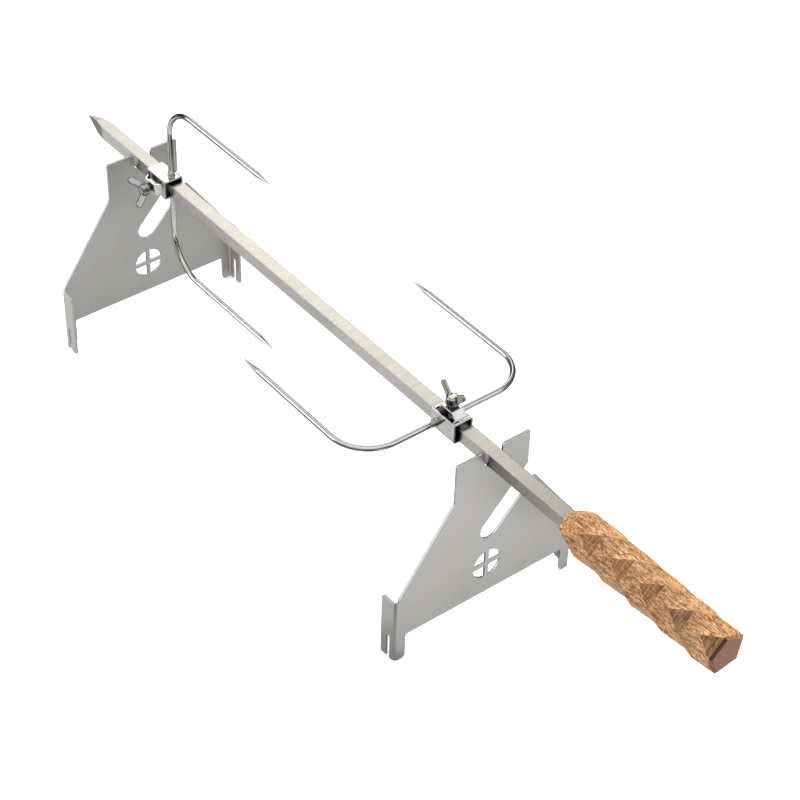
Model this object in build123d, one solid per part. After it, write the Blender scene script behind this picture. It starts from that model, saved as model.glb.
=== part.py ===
from build123d import *
import math
import os

os.makedirs("parts", exist_ok=True)

# Rotisserie spit roaster, in millimetres. +X runs along the spit to the handle, +Z is up.
# The origin is on the floor under the middle of the whole set.

# spit
bar_side = 10.0            # square bar, across the flats
spit_height = 139.6        # spit axis above the floor
tip_x = -346.0
side_taper = 27.8          # the two upright sides narrow to the point over this length
face_taper = 17.0          # the top and bottom are ground away over this length
handle_start_x = 209.6
handle_end_x = 346.0
tang_radius = 4.0
tang_length = 62.0
glue_gap = 0.05
handle_bevel = 1.6

# stands: a mirrored pair of bent sheet plates
sheet = 1.5
front_stand_x = 135.8      # outer face of the front stand
rear_stand_x = -272.4      # outer face of the rear stand
stand_half_width = 75.9
stand_top = 146.8
horn_half_width = 30.0
shoulder_height = 115.8
flange_height = 52.1
flange_length = 14.3
leg_width = 9.1
arch_height = 20.4
notch_radius = 7.4
low_slot_radius = 7.55
low_slot_y = 0.5
low_slot_z = 77.0
low_slot_angle = 46.5
wall_slot_width = 3.4
wall_slot_depth = 20.3
wall_slot_x = 7.4          # from the end of the flange
vent_radius = 11.5
vent_height = 45.8
vent_web = 3.0
bend_radius = 1.5          # inside of the bend

# forks
front_fork_x = 88.2        # where the front fork's tines leave the clamp
rear_fork_x = -231.3
channel_length = 23.4
channel_width = 15.2
channel_sheet = 1.2
channel_rim = 9.2          # rim of the side walls above the spit axis
channel_shift = -1.1       # the clamp sits to one side of the bar
tine_to_middle = 6.6       # from the tines to the middle of the clamp
base_gap = 0.05
saddle_lip_width = 12.7
saddle_strap_width = 9.6
saddle_lip_height = 9.8
saddle_top = 15.0
wire_radius = 2.0
tine_half_spacing = 71.0
tine_bend = 29.0
tine_reach = 124.4
tine_point = 15.0
collar_radius = 2.45        # ringed collar at the channel wall
collar_ring = 1.0

# wing screws, M5
thread_radius = 2.5
thread_pitch = 0.8
hub_height = 5.4
hub_clear = 2.4            # hub above the saddle when clamped
wing_span = 23.6
wing_height = 12.4
wing_thickness = 2.2
nut_side = 8.0
nut_height = 3.2


def yz_polygon(points):
    """A flat face in the YZ plane from (y, z) points."""
    return Plane.YZ * make_face(Polyline(*points, close=True))


def edges_at(solid, direction, spots):
    """The edges along direction that pass within 0.2 mm of each (y, z) spot."""
    found = []
    for e in solid.edges().filter_by(direction):
        c = e.center()
        if any(math.hypot(c.Y - y, c.Z - z) < 0.2 for y, z in spots):
            found.append(e)
    return found


def make_front_stand():
    """The stand under the handle end, with both flanges turned back from its outer face."""
    inner = front_stand_x - sheet
    outer_bend = bend_radius + sheet
    flat_y = stand_half_width - outer_bend
    slope = (shoulder_height - flange_height) / (stand_half_width - 1.2 - horn_half_width)
    meet_z = shoulder_height - (flat_y - horn_half_width) * slope
    leg_y = stand_half_width - leg_width
    half = [(horn_half_width, stand_top), (horn_half_width, shoulder_height), (flat_y, meet_z),
            (flat_y, 0), (leg_y, 0), (leg_y, arch_height)]
    outline = half + [(-y, z) for y, z in reversed(half)]
    plate = Pos(inner, 0, 0) * extrude(yz_polygon(outline), sheet)

    across = Rot(0, 90, 0) * Cylinder(notch_radius, 20)
    plate -= Pos(inner, 0, spit_height) * across
    plate -= Pos(inner, 0, spit_height + 10) * Box(20, 2 * notch_radius, 20)
    low = Rot(0, 90, 0) * Cylinder(low_slot_radius, 20)
    plate -= Pos(inner, low_slot_y, low_slot_z) * low
    run = Pos(0, 40, 0) * Box(20, 80, 2 * low_slot_radius)
    plate -= Pos(inner, low_slot_y, low_slot_z) * Rot(low_slot_angle, 0, 0) * run
    vent = Rot(0, 90, 0) * Cylinder(vent_radius, 20)
    vent -= Box(30, vent_web, 40) + Box(30, 40, vent_web)
    plate -= Pos(inner, 0, vent_height) * vent

    lean = math.radians(low_slot_angle)
    start = low_slot_z - low_slot_y * math.tan(lean)
    upper = start + low_slot_radius / math.cos(lean)
    lower = start - low_slot_radius / math.cos(lean)
    horn_tip = (horn_half_width, upper + horn_half_width * math.tan(lean))
    mouth_y = (shoulder_height + horn_half_width * slope - lower) / (math.tan(lean) + slope)
    mouth = (mouth_y, lower + mouth_y * math.tan(lean))
    plate = fillet(edges_at(plate, Axis.X, [(-notch_radius, stand_top), (notch_radius, stand_top)]), 2.2)
    plate = fillet(edges_at(plate, Axis.X, [(-horn_half_width, stand_top),
                                            (horn_half_width, stand_top)]), 1.5)
    plate = fillet(edges_at(plate, Axis.X, [horn_tip, mouth]), 1.6)
    plate = fillet(edges_at(plate, Axis.X, [(-horn_half_width, shoulder_height)]), 3.0)
    plate = fillet(edges_at(plate, Axis.X, [(-leg_y, arch_height), (leg_y, arch_height)]), 2.0)
    plate = fillet(edges_at(plate, Axis.X, [(-leg_y, 0), (leg_y, 0)]), 3.0)

    bend = Cylinder(outer_bend, flange_height) - Cylinder(bend_radius, flange_height)
    bend &= Pos(outer_bend, outer_bend, 0) * Box(2 * outer_bend, 2 * outer_bend, flange_height)
    bend = Pos(front_stand_x - outer_bend, flat_y, flange_height / 2) * bend
    straight = flange_length - outer_bend
    flange = Box(straight, sheet, flange_height)
    flange_x = front_stand_x - outer_bend - straight / 2
    flange = Pos(flange_x, stand_half_width - sheet / 2, flange_height / 2) * flange
    slot_x = front_stand_x - flange_length + wall_slot_x
    slot_top = wall_slot_depth - wall_slot_width / 2
    slot = Pos(0, 0, slot_top / 2 - 5) * Box(wall_slot_width, 10, slot_top + 10)
    slot += Pos(0, 0, slot_top) * Rot(90, 0, 0) * Cylinder(wall_slot_width / 2, 10)
    flange -= Pos(slot_x, stand_half_width, 0) * slot
    free_end = flange.edges().filter_by(Axis.Y).filter_by_position(
        Axis.X, front_stand_x - flange_length - 0.1, front_stand_x - flange_length + 0.1)
    flange = fillet(free_end.sort_by(Axis.Z)[-1:], 3.5)
    free_end = flange.edges().filter_by(Axis.Y).filter_by_position(
        Axis.X, front_stand_x - flange_length - 0.1, front_stand_x - flange_length + 0.1)
    flange = fillet(free_end.sort_by(Axis.Z)[:1], 1.5)
    side = bend + flange
    return (plate + side + mirror(side, about=Plane.XZ)).clean()


def make_spit():
    """The square bar with its ground point and the round tang that is glued into the handle."""
    length = handle_start_x - tip_x
    bar = Pos(tip_x + length / 2, 0, 0) * Box(length, bar_side, bar_side)
    far = handle_start_x + 1
    half = bar_side / 2
    wide = half * (far - tip_x) / side_taper
    wedge = extrude(make_face(Polyline((tip_x, 0), (far, -wide), (far, wide), close=True)),
                    bar_side, both=True)
    bar &= wedge
    tall = half * (far - tip_x) / face_taper
    wedge = Plane.XZ * make_face(Polyline((tip_x, 0), (far, -tall), (far, tall), close=True))
    bar &= extrude(wedge, bar_side, both=True)
    body_edges = [e for e in bar.edges().filter_by(Axis.X) if e.length > 400]
    bar = fillet(body_edges, 0.35)
    tang = Pos(handle_start_x + tang_length / 2 - 1, 0, 0) * Rot(0, 90, 0) * Cylinder(
        tang_radius, tang_length + 2)
    bar += tang
    return Pos(0, 0, spit_height) * bar


def ring(x, radius, first_angle, count=5):
    """Corners of a regular polygon across the spit axis."""
    step = 2 * math.pi / count
    return [Vector(x, radius * math.cos(first_angle + i * step),
                   spit_height + radius * math.sin(first_angle + i * step)) for i in range(count)]


def make_handle():
    """The carved grip: five-sided rings, each turned half a step from the next, joined by triangles."""
    half_step = math.radians(36)
    lead = math.radians(133.8)
    rings = [ring(handle_start_x, 10.4, lead - half_step),
             ring(handle_start_x + 7.4, 14.4, lead - half_step)]
    pitch, first, offset = 25.78, handle_start_x + 19.2, 13.3
    for k in range(5):
        rings.append(ring(first + k * pitch, 15.3, lead))
        x = first + offset + k * pitch if k < 4 else handle_end_x
        rings.append(ring(x, 15.0 if k < 4 else 14.7, lead - half_step))
    faces = [Face(Wire.make_polygon(list(reversed(rings[0])))), Face(Wire.make_polygon(rings[-1]))]
    n = 5
    for i in range(n):
        j = (i + 1) % n
        faces.append(Face(Wire.make_polygon([rings[0][i], rings[0][j], rings[1][j], rings[1][i]])))
    for a, b, turned in zip(rings[1:], rings[2:], [True, False] * 5):
        for i in range(n):
            j = (i + 1) % n
            if turned:
                faces.append(Face(Wire.make_polygon([a[i], a[j], b[i]])))
                faces.append(Face(Wire.make_polygon([b[i], a[j], b[j]])))
            else:
                faces.append(Face(Wire.make_polygon([a[i], b[j], b[i]])))
                faces.append(Face(Wire.make_polygon([a[i], a[j], b[j]])))
    grip = Solid(Shell(faces))
    if grip.volume < 0:
        grip = Solid(grip.wrapped.Reversed())
    grip = chamfer(grip.faces().sort_by(Axis.X)[-1].edges(), handle_bevel)
    bore = Cylinder(tang_radius + glue_gap, tang_length + 8, align=(Align.CENTER, Align.CENTER, Align.MIN))
    return grip - Pos(handle_start_x - 4, 0, spit_height) * Rot(0, 90, 0) * bore


def bent_strip(points, thickness, radius, width):
    """A strip of sheet bent along (x, z) points on its outer side, centred on Y."""
    line = FilletPolyline(*points, radius=radius)
    face = make_face(line.offset_2d(thickness, side=Side.RIGHT).edges())
    return extrude(Plane.XZ * face, width / 2, both=True)


# Each fork is drawn with the spit axis at Z = 0, its tines at X = 0 pointing to -X, and the screw up.

def make_channel():
    """U-shaped clamp channel that wraps three sides of the bar."""
    floor = -bar_side / 2 - base_gap - channel_sheet
    height = channel_rim - floor
    outside = Box(channel_length, channel_width, height, align=(Align.CENTER, Align.CENTER, Align.MIN))
    outside = fillet(outside.edges().filter_by(Axis.X).group_by(Axis.Z)[0], 2.0)
    inside = Box(channel_length + 2, channel_width - 2 * channel_sheet, height,
                 align=(Align.CENTER, Align.CENTER, Align.MIN))
    inside = fillet(inside.edges().filter_by(Axis.X).group_by(Axis.Z)[0], 0.8)
    channel = outside - Pos(0, 0, channel_sheet) * inside
    rims = [e for e in channel.edges().filter_by(Axis.X)
            if e.center().Z > height - 0.01 and abs(e.center().Y) > channel_width / 2 - 0.1]
    channel = fillet(rims, 0.5)
    return Pos(tine_to_middle, channel_shift, floor) * channel


def make_saddle():
    """Hat-shaped strap across the open side of the channel, pierced for the screw."""
    end = channel_length / 2
    foot, knee = end - 2.6, 5.4
    left = [(-end, channel_rim - 0.7), (-end, saddle_lip_height), (-foot, saddle_lip_height)]
    peak = [(-knee, saddle_top), (knee, saddle_top)]
    right = [(-x, z) for x, z in reversed(left)]
    strap = bent_strip(left + peak + right, channel_sheet, 1.25, saddle_lip_width)
    middle = 2 * (foot - 0.3)
    trim = Box(middle, 10, 20)
    reach = saddle_strap_width / 2 + 5
    strap -= Pos(0, reach, saddle_top) * trim
    strap -= Pos(0, -reach, saddle_top) * trim
    strap -= Pos(0, 0, saddle_top) * Cylinder(thread_radius + 0.3, 6)
    return Pos(tine_to_middle, channel_shift, 0) * strap


def make_nut():
    """Square nut welded under the saddle; its thread is a plain hole."""
    nut = Box(nut_side, nut_side, nut_height)
    nut = chamfer(nut.edges().filter_by(Axis.Z), 0.6)
    nut -= Cylinder(thread_radius + 0.08, 10)
    return Pos(tine_to_middle, channel_shift, saddle_top - channel_sheet - nut_height / 2) * nut


def make_tine(side):
    """One bent wire with its collar against the channel wall; side is -1 or 1 along Y."""
    start = channel_width / 2 * side + channel_shift
    out = tine_half_spacing * side
    turn = out - tine_bend * side
    path = Polyline((0, start + 2.0 * side, 0), (0, turn, 0))
    path += RadiusArc((0, turn, 0), (-tine_bend, out, 0), tine_bend * -side)
    path += Line((-tine_bend, out, 0), (tine_point - tine_reach, out, 0))
    section = Plane((0, start + 2.0 * side, 0), z_dir=(0, side, 0)) * Circle(wire_radius)
    wire = sweep(section, path)
    point = Rot(0, -90, 0) * Cone(wire_radius, 0.45, tine_point - 0.4,
                                  align=(Align.CENTER, Align.CENTER, Align.MIN))
    wire += Pos(tine_point - tine_reach, out, 0) * point
    wire += Pos(-tine_reach + 0.4, out, 0) * Sphere(0.45)
    outline = [(0, 0), (2.9, 0), (2.9, 0.4), (2.6, 0.6), (2.0, 0.6)]
    for k in range(3):
        z = 0.6 + k * collar_ring
        outline += [(2.0, z + 0.25), (2.2, z + 0.35), (collar_radius, z + 0.45),
                    (collar_radius, z + 0.8), (2.2, z + collar_ring - 0.1), (2.0, z + collar_ring)]
    outline.append((0, 0.6 + 3 * collar_ring))
    collar = revolve(Plane.XZ * make_face(Polyline(*outline, close=True)), Axis.Z)
    return wire + Pos(0, start, 0) * Rot(-90 * side, 0, 0) * collar


hub_bottom = saddle_top + hub_clear


def make_stud():
    """Threaded stud, with the thread drawn as rings of the true pitch."""
    bottom = bar_side / 2 + base_gap
    crest, root = thread_radius, thread_radius - 0.45
    outline = [(0, bottom), (root - 0.3, bottom), (root, bottom + 0.4), (root, bottom + 0.6)]
    z = bottom + 0.6
    while z + thread_pitch < hub_bottom - 0.2:
        outline += [(crest, z + 0.35), (crest, z + 0.45), (root, z + thread_pitch)]
        z += thread_pitch
    top = hub_bottom + hub_height - 1.6
    outline += [(crest, z + 0.35), (crest, top), (0, top)]
    stud = revolve(Plane.XZ * make_face(Polyline(*outline, close=True)), Axis.Z)
    return Pos(tine_to_middle, channel_shift, 0) * stud


def make_wing_head(turned):
    """Cast wing head with a domed hub, turned by some degrees about the screw."""
    hub = Cone(5.0, 4.3, hub_height, align=(Align.CENTER, Align.CENTER, Align.MIN))
    hub = fillet(hub.edges().group_by(Axis.Z)[-1], 1.6)
    hub = fillet(hub.edges().group_by(Axis.Z)[0], 0.4)
    for side in (-1, 1):
        low = Pos(3.2 * side, 3.0) * Circle(2.4)
        tip = Pos((wing_span / 2 - 2.6) * side, wing_height - 2.6) * Circle(2.6)
        ear = make_hull((low + tip).edges())
        blade = extrude(Plane.XZ * make_face(ear.edges()), wing_thickness / 2, both=True)
        hub += fillet(blade.edges().filter_by(lambda e: abs(e.center().Y) > wing_thickness / 2 - 0.01), 0.5)
    hub -= Cylinder(thread_radius + 0.05, hub_height - 1.5, align=(Align.CENTER, Align.CENTER, Align.MIN))
    return Pos(tine_to_middle, channel_shift, hub_bottom) * Rot(0, 0, turned) * hub


def fork(place, name, wing_turned):
    pieces = {
        "clamp_channel": make_channel(),
        "clamp_saddle": make_saddle(),
        "saddle_nut": make_nut(),
        "left_tine": make_tine(-1),
        "right_tine": make_tine(1),
        "screw_stud": make_stud(),
        "wing_head": make_wing_head(wing_turned),
    }
    return {f"{name}_{k}": place * v for k, v in pieces.items()}


front_place = Location((front_fork_x, 0, spit_height))
# the rear fork faces the front one, with its screw out to -Y and its tines one above the other
rear_frame = Plane((rear_fork_x, 0, spit_height), x_dir=(-1, 0, 0), z_dir=(0, -1, 0))
rear_place = rear_frame.location

front_stand = make_front_stand()
middle_x = (front_stand_x + rear_stand_x) / 2
nodes = {
    "front_stand_plate": front_stand,
    "rear_stand_plate": mirror(front_stand, about=Plane.YZ.offset(middle_x)),
    "spit_bar": make_spit(),
    "handle_grip": make_handle(),
}
nodes.update(fork(front_place, "front_fork", 0))
nodes.update(fork(rear_place, "rear_fork", -60))

for name, shape in nodes.items():
    export_step(shape, f"parts/{name}.step")
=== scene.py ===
import bpy
import bmesh
import math
from mathutils import Matrix, Vector


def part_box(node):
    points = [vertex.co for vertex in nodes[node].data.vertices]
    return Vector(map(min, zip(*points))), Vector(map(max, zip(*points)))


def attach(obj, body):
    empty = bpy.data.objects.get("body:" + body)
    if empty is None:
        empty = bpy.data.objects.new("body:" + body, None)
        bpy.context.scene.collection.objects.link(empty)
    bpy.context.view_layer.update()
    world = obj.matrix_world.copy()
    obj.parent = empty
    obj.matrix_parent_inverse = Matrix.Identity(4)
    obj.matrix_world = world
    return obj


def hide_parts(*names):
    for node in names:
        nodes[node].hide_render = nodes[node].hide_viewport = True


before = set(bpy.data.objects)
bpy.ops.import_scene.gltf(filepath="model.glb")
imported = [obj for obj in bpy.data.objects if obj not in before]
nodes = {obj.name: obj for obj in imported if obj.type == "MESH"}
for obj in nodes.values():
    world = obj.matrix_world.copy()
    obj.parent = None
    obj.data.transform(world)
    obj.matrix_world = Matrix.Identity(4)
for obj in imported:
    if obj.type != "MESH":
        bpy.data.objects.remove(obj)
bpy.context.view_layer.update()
scene = bpy.context.scene

# Lengths are in metres. +X runs along the spit to the handle, and +Z is up.
# Noise scales are per metre: the smaller the scale, the longer the marks along that axis.

# camera
CAMERA_PLACE = (0.913737, -0.703792, 1.074463)
CAMERA_YAW, CAMERA_PITCH, CAMERA_ROLL = 51.145, 40.363, 1.687    # degrees
CAMERA_LENS, CAMERA_SENSOR = 100.39, 36                          # millimetres

# places on the CAD part
STAND_BACKS = (0.1343, -0.2724)    # the side of each stand's sheet that looks to -X
WEB_HALF_WIDTH = 0.0726            # just inside the bends of a stand's flanges
PITH = (0, -0.031, 0.118)          # the axis of the wood's growth rings
HANDLE_X = (0.23, 0.335)           # the painted shade on one row of facets grows darker between these

# M5 screws
THREAD_CREST, THREAD_ROOT, THREAD_PITCH = 0.0025, 0.00208, 0.0008
THREAD_FOOT = THREAD_ROOT - 0.0003    # radius where the chamfer of the foot starts
THREAD_STEPS = 48                  # vertices round the thread
THREAD_RISE = 0.00005              # height between rings of vertices
FLANK_STEEPNESS, FLANK_DROP = 3.4, 0.3    # flanks cut off by a flat crest and a flat root
CAST_VOXEL = 0.00022               # the wing heads are remeshed this finely

# colours that are used more than once
# dark colour of the painted shade in crevices
CREVICE_SHADE = (0.03, 0.028, 0.025)
PORE = (0.14, 0.055, 0.02)

# Cards round the set: direction, cosines of the inner and outer edge, colour.
CARDS = (
    ((-0.43, 0.56, 0.71), 0.99, 0.972, (0.12, 0.12, 0.12)),       # flag over the bar's handle end
    ((-0.65, 0.459, 0.606), 0.9955, 0.981, (2.12, 2.0, 1.83)),    # warm card over the bar
    ((-0.85, 0.478, 0.228), 0.99, 0.96, (1.25, 1.25, 1.22)),      # low card beyond the point
    ((0.807, 0.478, 0.348), 0.98, 0.95, (1.0, 1.06, 1.12)),       # cool card for the straps
    ((-0.6, -0.74, 0.3), 0.975, 0.93, (2.1, 2.1, 2.1)),           # left card for the stands' slopes
)
FRONT = (0.65, -0.76, 0)           # the sky is bright on this side
NEAR_SIDE = (0.3, -0.95, 0)        # a dim band lies low on this side

# White boards on the table: low and high x, low and high y, fade, level at low and at high x.
BOARDS = (
    (0.12, 0.34, -0.1, 0.2, 0.03, 0.62, 1.3),           # before the front stand
    (-0.3, -0.06, -0.1, 0.2, 0.03, 0.5, 0.92),          # before the rear stand
    (-0.62, 0.15, -0.17, -0.065, 0.025, 1.02, 0.74),    # along the bar
    (0.02, 1.2, 0.32, 1.2, 0.05, 0.5, 0.5),             # behind the handle
    (-0.43, -0.215, -0.3, -0.16, 0.02, 0.85, 0.85),     # beside the rear clamp
)
# Round shades on the boards: x, y, and the light that is left.
SHADES = ((0.222, 0.103, 0.1), (-0.159, 0.099, 0.35), (0.125, -0.083, 0.6),
          (-0.195, -0.12, 0.45), (-0.255, -0.12, 0.45))
SHADE_INNER, SHADE_OUTER = 0.016, 0.03

STAGE_REACH = 3.0                  # from the middle of the floor to its sides
FLOOR_FADE = (0.9, 2.4)            # the floor fades into the white surround between these
TABLE_DROP = 0.0005                # the reflected table lies this far under the floor


# ---------------------------------------------------------------- camera
def make_camera():
    yaw, pitch, roll = (math.radians(a) for a in (CAMERA_YAW, CAMERA_PITCH, CAMERA_ROLL))
    right = Vector((math.cos(yaw), math.sin(yaw), 0))
    back = Vector((math.sin(yaw) * math.cos(pitch), -math.cos(yaw) * math.cos(pitch),
                   math.sin(pitch)))
    up = back.cross(right)
    across = math.cos(roll) * right + math.sin(roll) * up
    upward = -math.sin(roll) * right + math.cos(roll) * up
    data = bpy.data.cameras.new("camera")
    data.sensor_width = CAMERA_SENSOR
    data.lens = CAMERA_LENS
    data.clip_start, data.clip_end = 0.05, 50
    camera = bpy.data.objects.new("camera", data)
    scene.collection.objects.link(camera)
    camera.matrix_world = Matrix((
        (across.x, upward.x, back.x, CAMERA_PLACE[0]),
        (across.y, upward.y, back.y, CAMERA_PLACE[1]),
        (across.z, upward.z, back.z, CAMERA_PLACE[2]),
        (0, 0, 0, 1)))
    scene.camera = camera


# ---------------------------------------------------------------- shader helpers
class Shader:
    """A small wrapper that makes and joins the nodes of a material or a world."""

    def __init__(self, owner, output="OutputMaterial"):
        owner.use_nodes = True
        self.owner = owner
        self.tree = owner.node_tree
        self.tree.nodes.clear()
        self.out = self.node(output)
        self.coord = self.node("TexCoord").outputs
        self.position = self.coord["Object"]
        self.normal = self.coord["Normal"]

    def set(self, socket, value):
        if isinstance(value, bpy.types.NodeSocket):
            self.tree.links.new(value, socket)
        elif isinstance(value, (tuple, list)) and len(value) == 3 and socket.type == "RGBA":
            socket.default_value = (*value, 1)
        else:
            socket.default_value = value

    def node(self, kind, inputs=None, **settings):
        n = self.tree.nodes.new("ShaderNode" + kind)
        for key, value in settings.items():
            setattr(n, key, value)
        for key, value in (inputs or {}).items():
            self.set(n.inputs[key], value)
        return n

    def math(self, operation, a, b=0.0):
        return self.node("Math", {0: a, 1: b}, operation=operation).outputs[0]

    def product(self, first, *others):
        for factor in others:
            first = self.math("MULTIPLY", first, factor)
        return first

    def dot(self, a, b):
        n = self.node("VectorMath", {0: a, 1: b}, operation="DOT_PRODUCT")
        return n.outputs["Value"]

    def distance(self, a, b=(0, 0, 0)):
        n = self.node("VectorMath", {0: a, 1: b}, operation="DISTANCE")
        return n.outputs["Value"]

    def split(self, vector):
        return self.node("SeparateXYZ", {0: vector}).outputs

    def stretched(self, scale, rotation=(0, 0, 0)):
        n = self.node("Mapping", {"Vector": self.position, "Scale": scale, "Rotation": rotation})
        return n.outputs[0]

    def noise(self, vector, scale=1.0, detail=2.0, roughness=0.5, distortion=0.0):
        n = self.node("TexNoise", {"Vector": vector, "Scale": scale, "Detail": detail,
                                   "Roughness": roughness, "Distortion": distortion})
        return n.outputs["Fac"]

    def remap(self, value, lo, hi, to_lo=0.0, to_hi=1.0, smooth=False):
        """The value from lo to hi, moved to the range from to_lo to to_hi and held there."""
        n = self.node("MapRange", {"Value": value, "From Min": lo, "From Max": hi,
                                   "To Min": to_lo, "To Max": to_hi})
        n.interpolation_type = "SMOOTHSTEP" if smooth else "LINEAR"
        return n.outputs[0]

    def mix(self, factor, a, b, blend="MIX"):
        n = self.node("Mix", data_type="RGBA", blend_type=blend)
        for socket, value in zip((0, 6, 7), (factor, a, b)):
            self.set(n.inputs[socket], value)
        return n.outputs[2]

    def blend(self, factor, a, b):
        n = self.node("Mix", data_type="FLOAT")
        for socket, value in zip((0, 2, 3), (factor, a, b)):
            self.set(n.inputs[socket], value)
        return n.outputs[0]

    def toned(self, color, tone):
        """The colour times a grey tone."""
        grey = self.node("CombineColor", {0: tone, 1: tone, 2: tone}).outputs[0]
        return self.mix(1.0, color, grey, "MULTIPLY")

    def edge(self, radius):
        """The rounded normal near edges, and how far it leans from the flat one (0 to 1)."""
        soft = self.node("Bevel", {"Radius": radius}, samples=6).outputs[0]
        flat = self.node("NewGeometry").outputs["Normal"]
        return soft, self.remap(self.dot(soft, flat), 0.995, 0.8, smooth=True)

    def crevice_shaded(self, color, reach, open_level, shut_level, amount):
        """The colour with painted shade in crevices: darker where nearby walls block the light."""
        openness = self.node("AmbientOcclusion", {"Distance": reach}, samples=8).outputs["AO"]
        return self.mix(self.remap(openness, open_level, shut_level, 0.0, amount), color, CREVICE_SHADE)

    def bump(self, height, distance, strength, normal):
        n = self.node("Bump", {"Height": height, "Distance": distance, "Strength": strength,
                               "Normal": normal})
        return n.outputs[0]

    def show(self, shader):
        """Joins a shader node to the output, and gives back the material or world."""
        self.tree.links.new(shader.outputs[0], self.out.inputs[0])
        return self.owner

    def finish(self, **inputs):
        inputs = {key.replace("_", " "): value for key, value in inputs.items()}
        return self.show(self.node("BsdfPrincipled", inputs))


def new_surface(name):
    return Shader(bpy.data.materials.new(name))


# ---------------------------------------------------------------- materials
def stand_steel():
    """Sheet steel brushed upright, with finely striped cut edges painted brighter as a highlight, a
    painted shade line along their backs, and edges lightened by wear and painted highlight.
    """
    s = new_surface("stand_steel")
    x, y, _ = s.split(s.position)
    nx, _, nz = s.split(s.normal)
    on_web = s.math("GREATER_THAN", s.math("ABSOLUTE", nx), 0.6)
    at_side = s.math("GREATER_THAN", s.math("ABSOLUTE", y), WEB_HALF_WIDTH)
    upright = s.math("LESS_THAN", s.math("ABSOLUTE", nz), 0.5)
    sheet = s.math("MAXIMUM", on_web, s.product(at_side, upright))

    fine = s.noise(s.stretched((5200, 5200, 60)), detail=3.0, roughness=0.65)
    broad = s.noise(s.stretched((900, 900, 14)))
    cloud = s.noise(s.position, scale=28.0, detail=3.0)
    brush = s.math("ADD", s.product(fine, 0.65), s.product(broad, 0.35))
    tone = s.product(s.remap(brush, 0.32, 0.68, 0.95, 1.045),
                     s.remap(cloud, 0.3, 0.7, 0.975, 1.025))
    face = s.toned((0.57, 0.562, 0.545), tone)

    stripes = s.noise(s.stretched((900, 3800, 3800)))
    # cut edges painted brighter than the faces as a highlight
    cut = s.mix(s.remap(stripes, 0.35, 0.65), (0.66, 0.655, 0.64), (0.92, 0.915, 0.9))
    # a thin painted shade line along the back of each cut edge
    back_shade_line = s.math("MAXIMUM", *(s.product(s.remap(x, back - 0.0001, back),
                                         s.remap(x, back + 0.0007, back + 0.0005))
                               for back in STAND_BACKS))
    cut = s.mix(s.product(back_shade_line, 0.9), cut, (0.05, 0.048, 0.045))

    soft, wear_and_highlight = s.edge(0.00035)
    color = s.mix(sheet, cut, face)
    # edges lightened by wear and painted highlight, less on the painted shade line
    color = s.mix(s.product(wear_and_highlight, s.blend(back_shade_line, 0.6, 0.1)), color, (0.78, 0.775, 0.76))
    rough = s.blend(sheet, s.remap(stripes, 0.3, 0.7, 0.28, 0.45),
                    s.remap(brush, 0.3, 0.7, 0.3, 0.42))
    along = s.node("Tangent", direction_type="RADIAL", axis="Z").outputs[0]
    return s.finish(Base_Color=color, Metallic=1.0, Roughness=rough, Anisotropic=0.45,
                    Tangent=along,
                    Normal=s.bump(s.blend(sheet, stripes, brush), 0.000012, 0.6, soft))


def bar_steel():
    """Square bar ground across its length, with handling scratches along it, arrises lightened by
    wear and a painted highlight, and painted shade in crevices.
    """
    s = new_surface("bar_steel")
    fine = s.noise(s.stretched((3300, 90, 90)), detail=3.0, roughness=0.6)
    bands = s.noise(s.stretched((420, 12, 12)))
    scratches = s.noise(s.stretched((9, 4200, 4200)))
    cloud = s.noise(s.position, scale=35.0)
    brush = s.math("ADD", s.product(fine, 0.6), s.product(bands, 0.4))
    tone = s.product(s.remap(brush, 0.3, 0.7, 0.945, 1.045),
                     s.remap(cloud, 0.3, 0.7, 0.98, 1.01),
                     s.remap(scratches, 0.2, 0.4, 0.95, 1.0))
    soft, wear_and_highlight = s.edge(0.0006)
    color = s.toned((0.66, 0.645, 0.615), tone)
    # arrises lightened by wear and a painted highlight line
    color = s.mix(s.product(wear_and_highlight, 0.85), color, (0.96, 0.955, 0.94))
    # painted shade in crevices, such as inside the clamps
    color = s.crevice_shaded(color, 0.016, 0.78, 0.56, 0.97)
    return s.finish(Base_Color=color, Metallic=1.0, Roughness=s.remap(brush, 0.3, 0.7, 0.24, 0.36),
                    Normal=s.bump(brush, 0.000012, 0.6, soft))


def chrome(name, color, rough, ripple):
    """Bright plating with faint ripples, finger haze and painted shade in crevices."""
    s = new_surface(name)
    haze = s.noise(s.position, scale=260.0, detail=4.0, roughness=0.6)
    wave = s.noise(s.position, scale=900.0)
    scratch = s.noise(s.stretched((350, 5000, 5000), (0.3, 0.5, 0.2)), detail=1.0)
    soft, _ = s.edge(0.00025)
    tint = s.mix(s.remap(haze, 0.35, 0.7), color, tuple(c * 0.9 for c in color))
    # painted shade in crevices
    tint = s.crevice_shaded(tint, 0.005, 0.55, 0.12, 0.93)
    roughness = s.math("ADD", s.remap(haze, 0.4, 0.7, rough * 0.8, rough * 1.7),
                       s.remap(scratch, 0.62, 0.75, 0.0, 0.06))
    return s.finish(Base_Color=tint, Metallic=1.0, Roughness=roughness,
                    Specular_Tint=(0.2, 0.2, 0.19), Normal=s.bump(wave, ripple, 0.5, soft))


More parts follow.
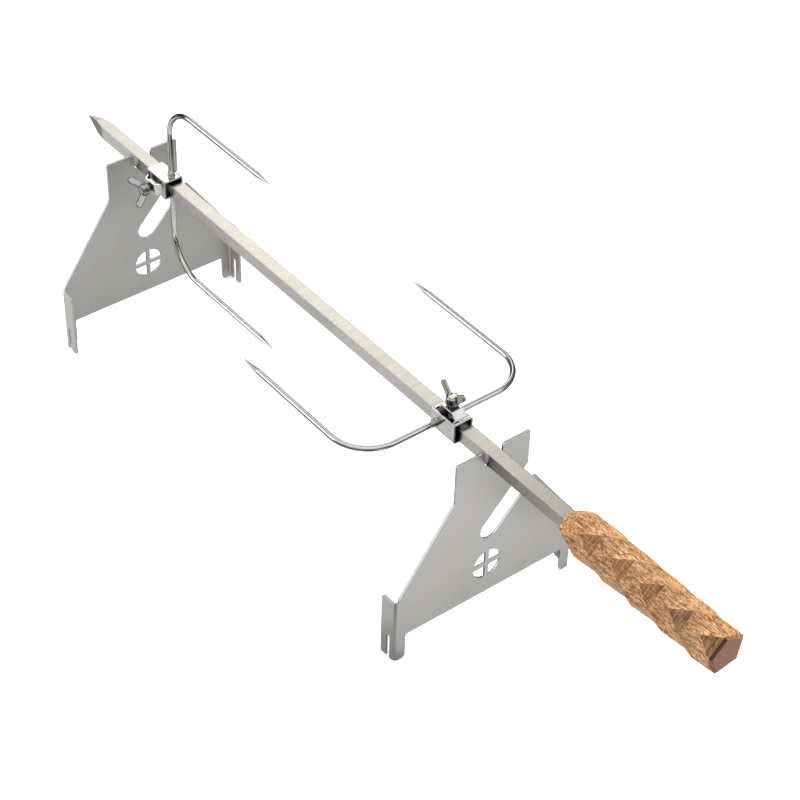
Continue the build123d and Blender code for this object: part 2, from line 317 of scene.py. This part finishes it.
def beech():
    """Knife-cut beech: streaks along X and cutter marks, with painted shade on one upper row and on
    facets leaning to the end, and painted light and shade by facet direction.
    """
    s = new_surface("handle_wood")
    x = s.split(s.position)[0]
    nx, ny, nz = s.split(s.normal)

    # grain
    drift = s.noise(s.stretched((30, 160, 160)))
    ring_radius = s.distance(s.stretched((0, 1, 1)), PITH)
    ring = s.math("FRACT", s.math("ADD", s.product(ring_radius, 380.0), s.product(drift, 3.0)))
    late = s.product(s.remap(ring, 0.4, 0.9, smooth=True), s.remap(ring, 1.0, 0.92))
    streak = s.noise(s.stretched((48, 1150, 1150), (0, 0.1, 0.08)), distortion=0.12)
    fibre = s.noise(s.stretched((80, 1900, 1900), (0, -0.14, 0.1)))
    rays = s.noise(s.stretched((260, 1500, 1500)), detail=1.0)
    pores = s.noise(s.stretched((600, 6500, 6500)), detail=1.0)
    marks = s.noise(s.stretched((760, 110, 110), (0, 0.25, 0)), detail=3.0, roughness=0.6,
                    distortion=0.4)
    patch = s.noise(s.stretched((45, 110, 110)))

    # colour of the grain
    color = s.mix(s.remap(patch, 0.3, 0.7), (0.56, 0.28, 0.11), (0.67, 0.385, 0.178))
    color = s.mix(s.product(late, 0.35), color, (0.34, 0.14, 0.05))
    for grain, start, full, amount, tone in (
            (streak, 0.45, 0.36, 0.85, (0.86, 0.58, 0.35)),
            (streak, 0.55, 0.59, 0.9, (0.18, 0.062, 0.013)),
            (fibre, 0.56, 0.61, 0.85, (0.16, 0.055, 0.015)),
            (rays, 0.62, 0.7, 0.75, PORE),
            (pores, 0.66, 0.74, 0.4, PORE)):
        color = s.mix(s.remap(grain, start, full, 0.0, amount), color, tone)

    # painted shade on one upper row of facets, and on the facets that lean to the end
    shaded_row = s.remap(s.dot(s.normal, (0.236, -0.672, 0.702)), 0.82, 0.97, smooth=True)
    shaded_row = s.product(shaded_row, s.remap(x, *HANDLE_X, 0.66, 0.95))
    shaded_leaning = s.product(s.remap(nx, 0.07, 0.16, 0.0, 0.26, smooth=True), s.remap(ny, 0.4, 0.1))
    shade = s.mix(s.remap(marks, 0.4, 0.6), (0.095, 0.036, 0.01), (0.36, 0.185, 0.075))
    color = s.mix(s.math("MAXIMUM", shaded_row, shaded_leaning), color, shade)
    # painted light and shade: facets lighter or darker by the way they face
    color = s.toned(color, s.product(s.remap(nx, -0.2, -0.05, 0.93, 1.0),
                                     s.remap(ny, 0.1, 0.45, 1.0, 1.18),
                                     s.remap(ny, -0.8, -0.95, 1.0, 1.08)))

    # the sawn end, a dark rim on its -Y side that is darker towards the top, and arrises lightened
    # by wear and painted highlight
    end_tone = s.mix(s.remap(pores, 0.4, 0.65), (0.46, 0.24, 0.165), (0.33, 0.16, 0.1))
    end_tone = s.mix(s.product(late, 0.35), end_tone, (0.27, 0.125, 0.08))
    color = s.mix(s.remap(nx, 0.93, 0.97), color, end_tone)
    rim = s.product(s.remap(nx, 0.35, 0.5), s.remap(nx, 0.95, 0.9),
                    s.remap(ny, -0.15, -0.4), s.remap(nz, -0.2, 0.2, 0.45, 0.92))
    color = s.mix(rim, color, (0.06, 0.024, 0.008))
    soft, wear_and_highlight = s.edge(0.0006)
    # arrises lightened by wear and painted highlight
    color = s.mix(s.product(wear_and_highlight, s.remap(nx, 0.4, 0.2, 0.0, 0.6)), color, (0.8, 0.52, 0.3))

    raised = s.math("ADD", s.product(s.blend(shaded_row, streak, marks), 0.8), s.product(fibre, 0.4))
    sunk = s.math("ADD", s.remap(rays, 0.6, 0.7, 0.0, 0.5), s.remap(pores, 0.62, 0.74, 0.0, 0.3))
    return s.finish(Base_Color=color, Roughness=s.remap(fibre, 0.3, 0.7, 0.5, 0.66),
                    Normal=s.bump(s.math("SUBTRACT", raised, sunk), 0.00025, 0.9, soft))


def paper():
    """The plain pale floor: a softly lit light table that fades into the white surround."""
    s = new_surface("studio_paper")
    color = s.mix(s.noise(s.position, scale=3.0), (0.93, 0.93, 0.93), (0.95, 0.95, 0.95))
    sheet = s.node("BsdfPrincipled", {"Base Color": color, "Roughness": 0.9,
                                      "Emission Color": (1, 1, 1), "Emission Strength": 0.3})
    gone = s.node("BsdfTransparent")
    far = s.remap(s.distance(s.position), *FLOOR_FADE, smooth=True)
    return s.show(s.node("MixShader", {0: far, 1: sheet.outputs[0], 2: gone.outputs[0]}))


def table_glow():
    """What polished metal sees below it: a dark table with white boards on it."""
    s = new_surface("table_glow")
    x, y, _ = s.split(s.position)
    light = 0.0
    for low_x, high_x, low_y, high_y, fade, level, far_level in BOARDS:
        board = s.product(s.remap(x, low_x - fade, low_x + fade, smooth=True),
                          s.remap(x, high_x + fade, high_x - fade, smooth=True),
                          s.remap(y, low_y - fade, low_y + fade, smooth=True),
                          s.remap(y, high_y + fade, high_y - fade, smooth=True),
                          s.remap(x, low_x, high_x, level, far_level))
        light = s.math("MAXIMUM", light, board)
    for shade_x, shade_y, left in SHADES:
        radius = s.distance(s.position, (shade_x, shade_y, 0))
        light = s.product(light, s.remap(radius, SHADE_INNER, SHADE_OUTER, left, 1.0, smooth=True))
    away = s.math("MAXIMUM", s.math("ABSOLUTE", y),
                  s.math("SUBTRACT", s.math("ABSOLUTE", x), 0.25))
    around = s.remap(away, 0.38, 0.65, 0.03, 0.24, smooth=True)
    return s.show(s.node("Emission", {"Color": (1, 1, 1),
                                      "Strength": s.math("MAXIMUM", light, around)}))


# ---------------------------------------------------------------- pieces
def soften(node, width):
    """Joins the CAD mesh's split points and rounds its sharp edges a little."""
    weld = node.modifiers.new("weld", "WELD")
    weld.merge_threshold = 0.000001
    bevel = node.modifiers.new("bevel", "BEVEL")
    bevel.width = width
    bevel.segments = 2
    bevel.limit_method = "ANGLE"
    bevel.angle_limit = math.radians(9)


def mesh_from(bm, name):
    mesh = bpy.data.meshes.new(name)
    bm.to_mesh(mesh)
    bm.free()
    return mesh


def add_piece(name, mesh, body, node, material):
    piece = bpy.data.objects.new(name, mesh)
    scene.collection.objects.link(piece)
    mesh.shade_smooth()
    mesh.materials.clear()
    mesh.materials.append(material)
    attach(piece, body)
    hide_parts(node)


def make_thread(name, node, body, axis, material):
    """An M5 screw shank with a true helical thread in the place of a CAD stud."""
    lo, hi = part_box(node)
    length = (hi - lo)[axis]
    rises = int(length / THREAD_RISE)
    bm = bmesh.new()
    rings = []
    for i in range(rises + 1):
        height = length * i / rises
        ring = []
        for k in range(THREAD_STEPS):
            phase = (height / THREAD_PITCH - k / THREAD_STEPS) % 1.0
            flank = (0.5 - abs(phase - 0.5)) * FLANK_STEEPNESS - FLANK_DROP
            tooth = max(0.0, min(1.0, flank))
            radius = THREAD_ROOT + (THREAD_CREST - THREAD_ROOT) * tooth
            radius = min(radius, THREAD_FOOT + height)
            angle = 2 * math.pi * k / THREAD_STEPS
            ring.append(bm.verts.new((radius * math.cos(angle), radius * math.sin(angle),
                                      height - length / 2)))
        rings.append(ring)
    for low, high in zip(rings, rings[1:]):
        for k in range(THREAD_STEPS):
            j = (k + 1) % THREAD_STEPS
            bm.faces.new((low[k], low[j], high[j], high[k]))
    bm.faces.new(list(reversed(rings[0])))
    bm.faces.new(rings[-1])
    if axis == 1:
        bm.transform(Matrix.Rotation(math.radians(90), 4, "X"))
    bm.transform(Matrix.Translation((lo + hi) / 2))
    add_piece(name, mesh_from(bm, name), body, node, material)


def make_cast_wing(name, node, body, material):
    """The CAD wing head remade as one soft casting: remeshed and relaxed."""
    work = bpy.data.objects.new(name + "_work", nodes[node].data.copy())
    scene.collection.objects.link(work)
    remesh = work.modifiers.new("remesh", "REMESH")
    remesh.mode = "VOXEL"
    remesh.voxel_size = CAST_VOXEL
    relax = work.modifiers.new("relax", "SMOOTH")
    relax.factor, relax.iterations = 0.5, 14
    depsgraph = bpy.context.evaluated_depsgraph_get()
    casting = bpy.data.meshes.new_from_object(work.evaluated_get(depsgraph))
    casting.name = name
    bpy.data.objects.remove(work)
    add_piece(name, casting, body, node, material)


def dress():
    """Gives each CAD node its material, and remakes the screws."""
    cast = chrome("screw_chrome", (0.47, 0.46, 0.435), 0.06, 0.00007)
    clamp = chrome("clamp_chrome", (0.77, 0.765, 0.75), 0.15, 0.000006)
    by_word = (("stand", stand_steel()), ("spit_bar", bar_steel()), ("handle_grip", beech()),
               ("tine", chrome("tine_chrome", (0.72, 0.715, 0.7), 0.03, 0.000002)),
               ("stud", cast), ("wing", cast), ("nut", cast))
    for name, node in nodes.items():
        node.data.materials.clear()
        node.data.materials.append(next((m for word, m in by_word if word in name), clamp))
    soften(nodes["handle_grip"], 0.0005)
    for end, axis in (("front", 2), ("rear", 1)):
        make_thread(f"{end}_screw_thread", f"{end}_fork_screw_stud", f"{end}_screw_stud",
                    axis, cast)
        make_cast_wing(f"{end}_screw_wings", f"{end}_fork_wing_head", f"{end}_wing_head", cast)


# ---------------------------------------------------------------- studio
def area(name, place, target, size, power):
    """A soft light that polished metal doesn't mirror."""
    data = bpy.data.lights.new(name, "AREA")
    data.shape = "RECTANGLE"
    data.size, data.size_y = size
    data.energy = power
    light = bpy.data.objects.new(name, data)
    scene.collection.objects.link(light)
    light.location = place
    light.rotation_mode = "QUATERNION"
    light.rotation_quaternion = (Vector(target) - Vector(place)).to_track_quat("-Z", "Y")
    light.visible_glossy = False


def stage_plane(name, height, material):
    bm = bmesh.new()
    bmesh.ops.create_grid(bm, x_segments=8, y_segments=8, size=STAGE_REACH)
    bmesh.ops.translate(bm, verts=bm.verts, vec=(0, 0, height))
    plane = bpy.data.objects.new(name, mesh_from(bm, name))
    scene.collection.objects.link(plane)
    plane.data.materials.append(material)
    return plane


def make_world():
    """Soft surroundings: bright above, dim low down and on the far side, with a few cards.

    The camera sees plain white instead, and matt surfaces get half of the light.
    """
    s = Shader(bpy.data.worlds.new("studio"), "OutputWorld")
    direction = s.coord["Generated"]
    height = s.split(direction)[2]
    front, near_side = s.dot(direction, FRONT), s.dot(direction, NEAR_SIDE)
    sky = s.product(s.remap(height, 0.27, 0.62, 0.04, 1.0, smooth=True),
                    s.remap(front, -0.45, -0.1, 0.35, 1.0, smooth=True))
    sky = s.math("MAXIMUM", sky, s.remap(near_side, 0.1, 0.6, 0.0, 0.34, smooth=True))
    light = s.mix(sky, (0, 0, 0), (1, 1, 1))
    for aim, inner, outer, color in CARDS:
        light = s.mix(s.remap(s.dot(direction, aim), outer, inner, smooth=True), light, color)
    path = s.node("LightPath").outputs
    strength = s.blend(path["Is Diffuse Ray"], 1.0, 0.5)
    lit = s.node("Background", {"Color": light, "Strength": strength}).outputs[0]
    plain = s.node("Background", {"Color": (1, 1, 1), "Strength": 1.0}).outputs[0]
    scene.world = s.show(s.node("MixShader", {0: path["Is Camera Ray"], 1: lit, 2: plain}))


def studio():
    """The floor, the table that only reflections see, two lights and the surroundings."""
    ground = stage_plane("ground", 0.0, paper())
    ground.visible_glossy = False
    table = stage_plane("table_glow", -TABLE_DROP, table_glow())
    table.visible_camera = table.visible_diffuse = False
    table.visible_shadow = table.visible_transmission = False
    area("overhead", (-0.35, 0.5, 1.9), (0, 0, 0), (2.4, 2.4), 66)
    area("left_card", (-1.6, -1.2, 0.14), (0, 0, 0.12), (1.0, 0.5), 15)
    make_world()
    scene.view_settings.view_transform = "Standard"


make_camera()
dress()
studio()
